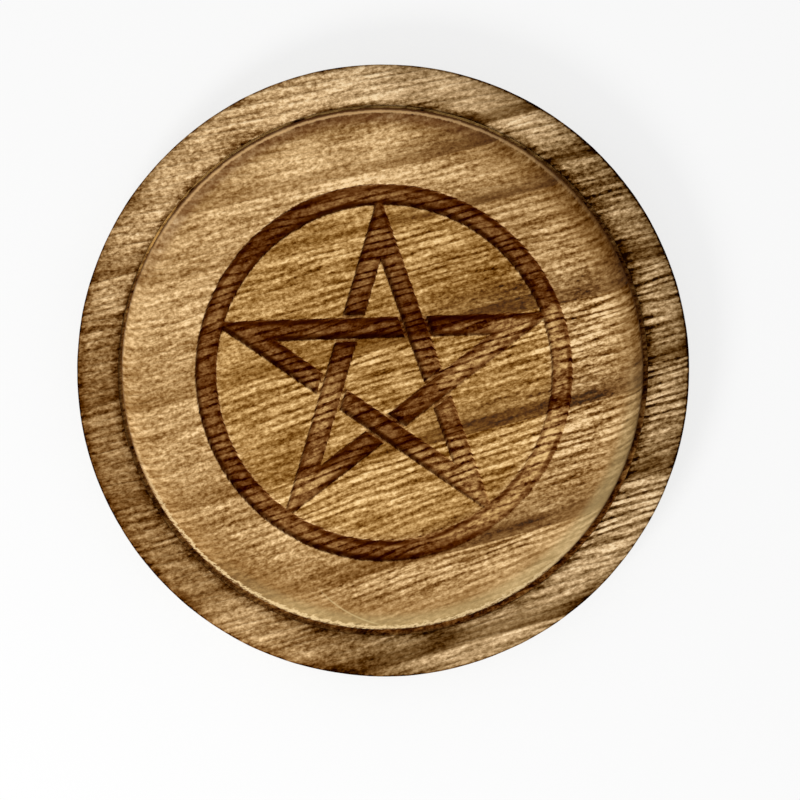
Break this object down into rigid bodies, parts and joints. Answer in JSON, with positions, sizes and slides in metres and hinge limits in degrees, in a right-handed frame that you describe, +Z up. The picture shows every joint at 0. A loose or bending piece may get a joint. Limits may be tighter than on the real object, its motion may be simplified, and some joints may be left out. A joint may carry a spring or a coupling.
{
  "type": "altar candle holder",
  "caption": "Flat round wooden plate for a pillar candle: raised centre disc engraved with an interlaced star in a ring, scorched rolled rim, pale base board.",
  "frame": {"origin": "middle of the flat underside, where the holder stands on a table", "axes": "+Z up out of the table, +Y towards one tip of the engraved star"},
  "size_m": [0.1, 0.1, 0.008],
  "materials": {
    "pale_wood": "bare sanded wood, pale grey-green side",
    "scorched_wood": "scorched and brushed wood, dark brown with open grain",
    "golden_wood": "lightly scorched golden brown wood with open grain, dark burnt engraving"
  },
  "bodies": {
    "root": {"base_disc": "pale_wood", "rim_ring": "scorched_wood", "centre_disc": "golden_wood"}
  },
  "joints": []
}
